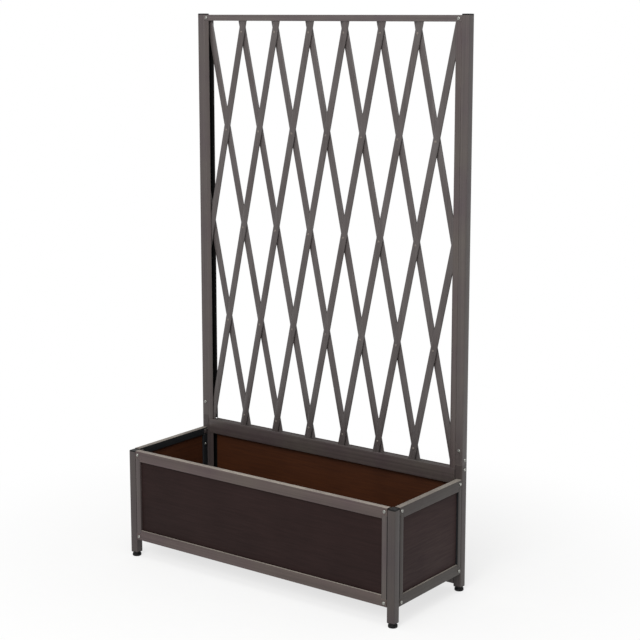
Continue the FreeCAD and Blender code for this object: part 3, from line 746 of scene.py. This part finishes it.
# ---- Channels ----------------------------------------------------------------------------
# Upright folded steel channels, as deep as the posts, on both sides of the lattice and of the
# back board. Their hollow is painted near-black, as painted shade for the deep shadow inside.
CHANNEL_WALL = 1.2 * MM
FOLD = 0.4 * MM
CUT_EDGE = 0.35 * MM
channel_painted_shade = painted_shade_finish("painted_shade_channel_hollow", "#0b0b0b", "#171615")
for side, word in ((-1, "left"), (1, "right")):
    for row in ("back", "trellis"):
        node = "%s_%s_stile" % (row, word)
        low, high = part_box(node)
        web, mouth = (low.x, high.x) if side < 0 else (high.x, low.x)
        floor_x = web - side * CHANNEL_WALL
        near = low.y + CHANNEL_WALL
        far = high.y - CHANNEL_WALL
        bm = bmesh.new()
        section_bar(bm, [(mouth, low.y, CUT_EDGE), (web, low.y, FOLD), (web, high.y, FOLD),
                         (mouth, high.y, CUT_EDGE), (mouth, far, CUT_EDGE),
                         (floor_x, far, CUT_EDGE), (floor_x, near, CUT_EDGE),
                         (mouth, near, CUT_EDGE)], ALONG_Z, low.z, high.z, WELD)
        # Faces inside the hollow take the near-black painted shade.
        for face in bm.faces:
            centre = face.calc_center_median()
            within = (side * (centre.x - mouth) > CUT_EDGE
                      and side * (web - centre.x) > CHANNEL_WALL / 2
                      and near - 0.1 * MM < centre.y < far + 0.1 * MM)
            if within and abs(face.normal.z) < 0.5:
                face.material_index = 1
        made = piece(node + "_channel", bm, upright_coat, FRAME_BODY, [node])
        made.data.materials.append(channel_painted_shade)

# ---- Boards ------------------------------------------------------------------------------
# Thin boards of dark stained wood composite behind the frames' lips. The stain is matt, with
# long close grain along each board; the faces inside the box are left red-brown.
BOARD_CORNER = 0.5 * MM
BOARD_EDGE = 0.4 * MM
INNER_DEEP = "#391e11"
INNER_MID = "#442514"
LOOKS_INWARD = -0.03


def stained_board(name, deep, mid, run):
    """Stained wood composite: matt, nearly black outside and red-brown inside the box. Grain
    lines 2 to 6 mm wide run along the board, with fine pores that catch a little light. A
    face is inside where its normal points back at the box's middle, by LOOKS_INWARD metres."""
    material, tree = new_material(name)
    place = add(tree, "ShaderNodeTexCoord")
    stretch = {"x": (3.0, 60.0, 60.0), "y": (60.0, 3.0, 60.0)}[run]
    fine = {"x": (14.0, 900.0, 900.0), "y": (900.0, 14.0, 900.0)}[run]
    long_way = add(tree, "ShaderNodeMapping", {"Scale": stretch},
                   {"Vector": place.outputs["Object"]})
    grain = add(tree, "ShaderNodeTexNoise", {"Scale": 4.0, "Detail": 6.0, "Roughness": 0.6,
                                             "Distortion": 0.35},
                {"Vector": long_way.outputs["Vector"]})
    fine_way = add(tree, "ShaderNodeMapping", {"Scale": fine},
                   {"Vector": place.outputs["Object"]})
    pore = add(tree, "ShaderNodeTexNoise", {"Scale": 1.4, "Detail": 3.0, "Roughness": 0.7},
               {"Vector": fine_way.outputs["Vector"]})
    cloud = add(tree, "ShaderNodeTexNoise", {"Scale": 9.0, "Detail": 3.0},
                {"Vector": place.outputs["Object"]})
    bands = add(tree, "ShaderNodeMapRange", {"From Min": 0.32, "From Max": 0.68},
                {"Value": grain.outputs["Fac"]})
    stain = add(tree, "ShaderNodeMix", {"data_type": "RGBA", 6: linear(deep),
                                        7: linear(mid)}, {0: bands.outputs["Result"]})
    bare = add(tree, "ShaderNodeMix", {"data_type": "RGBA", 6: linear(INNER_DEEP),
                                       7: linear(INNER_MID)}, {0: bands.outputs["Result"]})
    facing = add(tree, "ShaderNodeNewGeometry")
    inward = add(tree, "ShaderNodeVectorMath", {"operation": "DOT_PRODUCT"},
                 {0: facing.outputs["Normal"], 1: place.outputs["Object"]})
    inside = add(tree, "ShaderNodeMath", {"operation": "LESS_THAN", 1: LOOKS_INWARD},
                 {0: inward.outputs["Value"]})
    wood = add(tree, "ShaderNodeMix", {"data_type": "RGBA"},
               {0: inside.outputs["Value"], 6: stain.outputs[2], 7: bare.outputs[2]})
    light = add(tree, "ShaderNodeMapRange", {"From Min": 0.3, "From Max": 0.7,
                                             "To Min": 0.9, "To Max": 1.1},
                {"Value": cloud.outputs["Fac"]})
    dark = add(tree, "ShaderNodeMapRange", {"From Min": 0.28, "From Max": 0.46,
                                            "To Min": 0.93, "To Max": 1.0},
               {"Value": pore.outputs["Fac"]})
    depth = add(tree, "ShaderNodeMath", {"operation": "MULTIPLY"},
                {0: light.outputs["Result"], 1: dark.outputs["Result"]})
    tone = add(tree, "ShaderNodeVectorMath", {"operation": "SCALE"},
               {0: wood.outputs[2], "Scale": depth.outputs["Value"]})
    shine = add(tree, "ShaderNodeMapRange", {"From Min": 0.3, "From Max": 0.7,
                                             "To Min": 0.68, "To Max": 0.54},
                {"Value": grain.outputs["Fac"]})
    relief = add(tree, "ShaderNodeMath", {"operation": "ADD"},
                 {0: grain.outputs["Fac"], 1: pore.outputs["Fac"]})
    bump = add(tree, "ShaderNodeBump", {"Strength": 0.06, "Distance": 0.1 * MM},
               {"Height": relief.outputs["Value"]})
    surface = add(tree, "ShaderNodeBsdfPrincipled", {"IOR": 1.45, "Specular IOR Level": 0.11},
                  {"Base Color": tone.outputs["Vector"], "Roughness": shine.outputs["Result"],
                   "Normal": bump.outputs["Normal"]})
    add(tree, "ShaderNodeOutputMaterial", links={"Surface": surface.outputs["BSDF"]})
    return material


long_board = stained_board("stained_composite_long_board", "#221716", "#271a19", "x")
# The side boards take a paler copy of the same stain, as painted light on the sides.
side_board_painted_light = stained_board("stained_composite_side_board_painted_light", "#322627", "#382b29", "y")
for node, axes, stuff, slot_name in (
        ("front_panel", ALONG_X, long_board, "side_boards"),
        ("back_panel", ALONG_X, long_board, "back_board"),
        ("left_panel", ALONG_Y, side_board_painted_light, "side_boards"),
        ("right_panel", ALONG_Y, side_board_painted_light, "side_boards")):
    low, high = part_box(node)
    along, deep = (0, 1) if axes is ALONG_X else (1, 0)
    bm = bmesh.new()
    section_bar(bm, square(low[deep], low.z, high[deep], high.z, BOARD_CORNER), axes,
                low[along], high[along], BOARD_EDGE)
    piece(node + "_board", bm, stuff, FRAME_BODY, [node])

# The floor board keeps its cut shape, with its notches and six drain holes.
frame["nodes"]["floor_panel"].data.materials.clear()
frame["nodes"]["floor_panel"].data.materials.append(
    stained_board("stained_composite_floor_board", INNER_DEEP, INNER_MID, "x"))

# ---- Floor crossbars ---------------------------------------------------------------------
# Four 15 mm square tubes across the underside, welded between the lower front and back
# rails, that carry the floor board and the soil on it.
bar_low, bar_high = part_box("floor_crossbars")
BAR = 15 * MM
span = bar_high.x - bar_low.x - BAR
bm = bmesh.new()
for number in range(4):
    x = bar_low.x + span * number / 3
    section_bar(bm, square(x, bar_low.z, x + BAR, bar_high.z, RAIL_CORNER), ALONG_Y,
                bar_low.y, bar_high.y)
# The crossbars take the side rails' darker coat, painted shade under the box.
piece("floor_crossbar_tubes", bm, side_shaded_coat, FRAME_BODY, ["floor_crossbars"])

# ---- Trellis head rail -------------------------------------------------------------------
# A 15 mm square steel tube that closes the lattice's frame between the tall posts, screwed to
# a tab on each. Its coat is a little lighter than that of the box rails.
low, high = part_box("trellis_top_rail")
bm = bmesh.new()
section_bar(bm, square(low.y, low.z, high.y, high.z, RAIL_CORNER), ALONG_X, low.x, high.x)
piece("trellis_top_rail_tube", bm, head_coat, FRAME_BODY, ["trellis_top_rail"])

# ---- Lattice slats -----------------------------------------------------------------------
# Flat oval steel tubes, 18.5 by 6 mm with crowned faces, in two layers that cross. Their ends
# are cut to the rails, or run into the channels, and are welded there.
SLAT_FACE = 18.5 * MM
SLAT_DEPTH = 6 * MM
SLAT_ROUND = 2.6 * MM
SLAT_CROWN = 0.8 * MM
END_MARGIN = 27 * MM
COLUMNS = 7
PAST_ENDS = 0.62
# The slats' edge colour is darker than their coat: painted shade on their rounded edges.
slat_coat = powder_coat("powder_coated_steel_slat", "#443d3c", "#4f4a49", "#37322f", "#857e75")
lattice_edge = HALF_W - POST_SIZE - CHANNEL_WALL
opening_low = Vector((-lattice_edge, 0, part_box("trellis_left_stile")[0].z))
opening_high = Vector((lattice_edge, 0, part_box("trellis_left_stile")[1].z))
half_cell = OPEN_X / COLUMNS
lattice_mid = (opening_low.z + opening_high.z) / 2
row_step = (opening_high.z - opening_low.z - 2 * END_MARGIN) / 4
lean = math.atan2(half_cell, row_step)
slat_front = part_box("lattice_slat_rising_1")[0].y


def flat_oval():
    """Section of a slat: two crowned faces between rounded edges, as (u, v) points."""
    flat = SLAT_FACE / 2 - SLAT_ROUND
    points = []
    for number in range(7):
        u = flat * (number / 3 - 1)
        points.append((u, SLAT_CROWN * (u / flat) ** 2))
    reach = SLAT_DEPTH / 2 - SLAT_CROWN
    for number in range(1, 10):
        angle = math.pi * number / 10
        points.append((flat + SLAT_ROUND * math.sin(angle),
                       SLAT_DEPTH / 2 - reach * math.cos(angle)))
    back = [(-u, SLAT_DEPTH - v) for u, v in points]
    return points + back


def trimmed(bm, point, outward):
    """Cuts a closed mesh flat at a plane and closes the cut."""
    every = bm.verts[:] + bm.edges[:] + bm.faces[:]
    result = bmesh.ops.bisect_plane(bm, geom=every, plane_co=point, plane_no=outward,
                                    dist=1e-7, clear_outer=True)
    cut = [item for item in result["geom_cut"] if isinstance(item, bmesh.types.BMEdge)]
    if cut:
        bmesh.ops.holes_fill(bm, edges=cut)


for rising, word, layer in ((1, "rising", 0), (-1, "falling", 1)):
    run = Vector((rising * math.sin(lean), 0, math.cos(lean)))
    wide = Vector((math.cos(lean), 0, -rising * math.sin(lean)))
    near = slat_front + layer * SLAT_DEPTH
    for number, column in enumerate(range(-COLUMNS, COLUMNS + 1, 2), start=1):
        node = "lattice_slat_%s_%d" % (word, number)
        middle = Vector((column * half_cell, 0, lattice_mid))
        bm = bmesh.new()
        rings = []
        for place in (-PAST_ENDS, PAST_ENDS):
            rings.append([middle + wide * u + Y_AXIS * (near + v) + run * place
                          for u, v in flat_oval()])
        lofted(bm, rings)
        for point, outward in ((opening_low, -UP), (opening_high, UP),
                               (opening_low, -X_AXIS), (opening_high, X_AXIS)):
            trimmed(bm, point, outward)
        piece(node + "_tube", bm, slat_coat, FRAME_BODY, [node], sharp=40)

# ---- Lattice rivets ----------------------------------------------------------------------
# Blind rivets through each crossing, coated with the lattice; their coat is drawn lighter than
# the slats' as a painted highlight on the heads. The domed head in front has the small hollow
# left by its mandrel; the closed end behind is plain and smaller. HEAD and TAIL hold radii and
# heights in mm.
rivet_painted_highlight_coat = powder_coat("powder_coated_rivet_painted_highlight", "#5a524d", "#69605a", "#8a827b", "#8f887f")
bm = bmesh.new()
STACK = 2 * SLAT_DEPTH
HEAD = [(0, 0.75), (0.55, 0.75), (0.72, 1.08), (0.95, 1.18), (1.5, 1.12), (2.1, 0.9),
        (2.6, 0.55), (2.9, 0.2), (2.95, 0.0), (2.0, -0.02)]
TAIL = [(2.0, 0.02), (2.55, 0.0), (2.6, -0.2), (2.45, -0.6), (2.0, -0.82), (1.0, -0.9),
        (0, -0.9)]
rivet = [(r * MM, h * MM) for r, h in HEAD] + [(r * MM, h * MM - STACK) for r, h in TAIL]
for line in (-2, -1, 0, 1, 2):
    columns = (-5, -3, -1, 1, 3, 5) if line % 2 == 0 else (-6, -4, -2, 0, 2, 4, 6)
    for column in columns:
        x = column * half_cell
        z = lattice_mid + line * row_step
        turned(bm, rivet, (x, slat_front, z), (0, -1, 0), 24)
piece("lattice_rivet_heads", bm, rivet_painted_highlight_coat, FRAME_BODY, ["lattice_rivets"],
      sharp=50)

# ---- Screws ------------------------------------------------------------------------------
# Bright zinc-plated pan-head screws with a cross recess, driven after coating, so they stay
# silver. They hold the frames to the posts' tabs and the tall posts to their sleeves.
# HEAD_RINGS are the radii in mm of the rings that shape the head.
HEAD_RADIUS = 3.8 * MM
HEAD_TALL = 2.2 * MM
HEAD_RIM = 1.4 * MM
HEAD_RINGS = (0.25, 0.5, 0.75, 1.0, 1.25, 1.5, 1.75, 2.0, 2.2, 2.4, 2.75, 3.1, 3.4, 3.6,
              3.73, 3.8)
SLOT_HALF = 0.34 * MM
SLOT_WALL = 0.22 * MM
SLOT_REACH = 1.65 * MM
SLOT_END = 0.45 * MM
SLOT_DEPTH = 1.35 * MM
SLOT_RISE = 0.25
SHANK_RADIUS = 2 * MM
TIP_RADIUS = 0.9 * MM
TIP_TALL = 1 * MM
SCREW_SIDES = 48
screw_zinc = zinc_plate("zinc_plated_screw", "#aaaaa5", "#858681", 0.32)


def eased(value):
    """A step from 0 to 1 with soft ends."""
    value = min(1.0, max(0.0, value))
    return value * value * (3 - 2 * value)


def recess(u, v):
    """Depth of the cross recess under the top of the head, in metres."""
    depth = 0.0
    for a, b in ((abs(u), abs(v)), (abs(v), abs(u))):
        wall = 1 - eased((a - SLOT_HALF) / SLOT_WALL)
        end = 1 - eased((b - SLOT_REACH) / SLOT_END)
        depth = max(depth, wall * end * (SLOT_DEPTH - SLOT_RISE * b))
    return depth


def pan_screw(bm, under, outward, shank, quarter):
    """One screw: a domed pan head on a polar grid with its recess, and a plain shank."""
    outward = Vector(outward)
    side, front = across(outward)
    under = Vector(under)
    steps = SCREW_SIDES
    centre = bm.verts.new(under + outward * (HEAD_TALL - recess(0, 0)))
    rings = []
    for radius in (value * MM for value in HEAD_RINGS):
        ring = []
        for step in range(steps):
            angle = 2 * math.pi * step / steps
            u = radius * math.cos(angle)
            v = radius * math.sin(angle)
            over = max(0.0, radius - (HEAD_RADIUS - HEAD_RIM))
            height = HEAD_TALL - HEAD_RIM + math.sqrt(max(0.0, HEAD_RIM ** 2 - over ** 2))
            cu = u * math.cos(quarter) - v * math.sin(quarter)
            cv = u * math.sin(quarter) + v * math.cos(quarter)
            ring.append(bm.verts.new(under + side * u + front * v
                                     + outward * (height - recess(cu, cv))))
        rings.append(ring)
    for radius, height in ((HEAD_RADIUS, 0.0), (SHANK_RADIUS, 0.0),
                           (SHANK_RADIUS, -shank + TIP_TALL), (TIP_RADIUS, -shank)):
        ring = []
        for step in range(steps):
            angle = 2 * math.pi * step / steps
            ring.append(bm.verts.new(under + (side * math.cos(angle)
                                              + front * math.sin(angle)) * radius
                                     + outward * height))
        rings.append(ring)
    for step in range(steps):
        bm.faces.new((centre, rings[0][step], rings[0][(step + 1) % steps]))
    for low, high in zip(rings, rings[1:]):
        for step in range(steps):
            after = (step + 1) % steps
            bm.faces.new((low[step], low[after], high[after], high[step]))
    bm.faces.new(rings[-1])


FRAME_GAP = 1 * MM
STILE_MID = 7 * MM
SCREW_X = HALF_W - POST_SIZE - FRAME_GAP - STILE_MID
SCREW_Y = HALF_D - POST_SIZE - FRAME_GAP - STILE_MID
BACK_FACE = HALF_D - POST_SIZE
REAR_FACE = BACK_FACE + FRAME_DEPTH + TAB_WALL
POST_MID_X = HALF_W - TUBE_HALF
POST_MID_Y = HALF_D - TUBE_HALF
INSIDE_LEVEL = 232 * MM
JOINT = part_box("trellis_left_post")[0].z
JOINT_FRONT = 34.5 * MM
JOINT_SIDE = 11.5 * MM
FRAME_SHANK = 17.2 * MM
PLATE_SHANK = 10 * MM
HEAD_SHANK = 18.5 * MM
SLEEVE_SHANK = 8 * MM
box_screws = []
sleeve_screws = []
for side in (-1, 1):
    for level in (LEVEL_TOP, LEVEL_LOW):
        box_screws.append(((side * SCREW_X, -HALF_D, level), (0, -1, 0), FRAME_SHANK))
        for back in (-1, 1):
            box_screws.append(((side * HALF_W, back * SCREW_Y, level), (side, 0, 0),
                               FRAME_SHANK))
    for level in (LEVEL_BACK, LEVEL_LOW):
        box_screws.append(((side * SCREW_X, REAR_FACE, level), (0, 1, 0), PLATE_SHANK))
    box_screws.append(((side * (HALF_W - FRAME_DEPTH), SCREW_Y, INSIDE_LEVEL),
                       (-side, 0, 0), PLATE_SHANK))
    sleeve_screws.append(((side * SCREW_X, BACK_FACE, LEVEL_HEAD), (0, -1, 0), HEAD_SHANK))
    sleeve_screws.append(((side * POST_MID_X, BACK_FACE, JOINT + JOINT_FRONT), (0, -1, 0),
                          SLEEVE_SHANK))
    for step in (-JOINT_SIDE, JOINT_SIDE):
        sleeve_screws.append(((side * HALF_W, POST_MID_Y, JOINT + step), (side, 0, 0),
                              SLEEVE_SHANK))
for name, entries, node in (("box_frame_screw_set", box_screws, "box_frame_screws"),
                            ("trellis_screw_set", sleeve_screws, "trellis_screws")):
    bm = bmesh.new()
    for number, (under, outward, shank) in enumerate(entries):
        pan_screw(bm, under, outward, shank, math.radians(23 + 37 * number))
    piece(name, bm, screw_zinc, FRAME_BODY, [node], sharp=40)

# ---- Floor, light and camera -------------------------------------------------------------
# A plain pale studio floor with a white surround, a wide soft lamp in front, a weak one
# overhead, and the camera where the photograph was taken from.
FLOOR_WHITE = "#f1f1ef"
FLOOR_MOTTLE = "#f6f6f5"


def seen(tree):
    """1 for rays from the camera and for mirrored or refracted ones, 0 for the light."""
    path = add(tree, "ShaderNodeLightPath")
    first = add(tree, "ShaderNodeMath", {"operation": "MAXIMUM"},
                {0: path.outputs["Is Camera Ray"], 1: path.outputs["Is Glossy Ray"]})
    return add(tree, "ShaderNodeMath", {"operation": "MAXIMUM"},
               {0: first.outputs["Value"], 1: path.outputs["Is Transmission Ray"]})


material, tree = new_material("painted_studio_floor")
place = add(tree, "ShaderNodeTexCoord")
far = add(tree, "ShaderNodeVectorMath", {"operation": "LENGTH"},
          {0: place.outputs["Object"]})
fade = add(tree, "ShaderNodeMapRange", {"interpolation_type": "SMOOTHSTEP",
                                        "From Min": 0.45, "From Max": 1.2,
                                        "To Min": 0.72, "To Max": 1.0},
           {"Value": far.outputs["Value"]})
view = seen(tree)
share = add(tree, "ShaderNodeMath", {"operation": "MULTIPLY"},
            {0: fade.outputs["Result"], 1: view.outputs["Value"]})
mottle = add(tree, "ShaderNodeTexNoise", {"Scale": 30.0, "Detail": 3.0},
             {"Vector": place.outputs["Object"]})
paint = add(tree, "ShaderNodeMix", {"data_type": "RGBA", 6: linear(FLOOR_WHITE),
                                    7: linear(FLOOR_MOTTLE)}, {0: mottle.outputs["Fac"]})
matt = add(tree, "ShaderNodeBsdfDiffuse", links={"Color": paint.outputs[2]})
white = add(tree, "ShaderNodeEmission", {"Color": (1, 1, 1, 1), "Strength": 1.0})
both = add(tree, "ShaderNodeMixShader", links={0: share.outputs["Value"],
                                               1: matt.outputs["BSDF"],
                                               2: white.outputs["Emission"]})
add(tree, "ShaderNodeOutputMaterial", links={"Surface": both.outputs["Shader"]})
bm = bmesh.new()
bmesh.ops.create_grid(bm, x_segments=2, y_segments=2, size=12.0)
mesh = bpy.data.meshes.new("studio_floor")
bm.to_mesh(mesh)
bm.free()
mesh.materials.append(material)
studio_floor = bpy.data.objects.new("studio_floor", mesh)
bpy.context.scene.collection.objects.link(studio_floor)
studio_floor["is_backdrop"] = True

world = bpy.data.worlds.new("studio")
world.use_nodes = True
tree = world.node_tree
tree.nodes.clear()
view = seen(tree)
lit = add(tree, "ShaderNodeBackground", {"Color": (1, 1, 1, 1), "Strength": 0.5})
shown = add(tree, "ShaderNodeBackground", {"Color": (1, 1, 1, 1), "Strength": 1.0})
both = add(tree, "ShaderNodeMixShader", links={0: view.outputs["Value"],
                                               1: lit.outputs["Background"],
                                               2: shown.outputs["Background"]})
add(tree, "ShaderNodeOutputWorld", links={"Surface": both.outputs["Shader"]})
bpy.context.scene.world = world

for number, (size, power, spot) in enumerate(((2.6, 122.0, (1.0, -3.5, 2.9)),
                                              (2.0, 26.0, (0.2, -0.8, 3.6))), start=1):
    lamp = bpy.data.lights.new("soft_lamp_%d" % number, "AREA")
    lamp.shape = "DISK"
    lamp.size = size
    lamp.energy = power
    lamp_at = bpy.data.objects.new("soft_lamp_%d" % number, lamp)
    lamp_at.location = spot
    lamp_at.rotation_mode = "QUATERNION"
    aim = Vector((0, 0, 0.6)) - lamp_at.location
    lamp_at.rotation_quaternion = aim.to_track_quat("-Z", "Y")
    bpy.context.scene.collection.objects.link(lamp_at)

YAW = 0.6380
PITCH = 0.1674
ROLL = 0.0008
LENS_MM = 86.762
SHIFT = (-0.00949, -0.07)
CAMERA_AT = (2.2133, -2.8500, 1.3475)
ahead = Vector((-math.sin(YAW) * math.cos(PITCH), math.cos(YAW) * math.cos(PITCH),
                -math.sin(PITCH)))
right = Vector((math.cos(YAW), math.sin(YAW), 0))
top = right.cross(ahead)
level_right = right * math.cos(ROLL) + top * math.sin(ROLL)
level_top = top * math.cos(ROLL) - right * math.sin(ROLL)
lens = bpy.data.cameras.new("photo_camera")
lens.sensor_width = 36.0
lens.lens = LENS_MM
lens.shift_x, lens.shift_y = SHIFT
lens.clip_start = 0.1
lens.clip_end = 100.0
camera = bpy.data.objects.new("photo_camera", lens)
pose = Matrix((level_right, level_top, -ahead)).transposed().to_4x4()
pose.translation = Vector(CAMERA_AT)
camera.matrix_world = pose
bpy.context.scene.collection.objects.link(camera)
bpy.context.scene.camera = camera
bpy.context.scene.view_settings.view_transform = "Standard"

low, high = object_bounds()
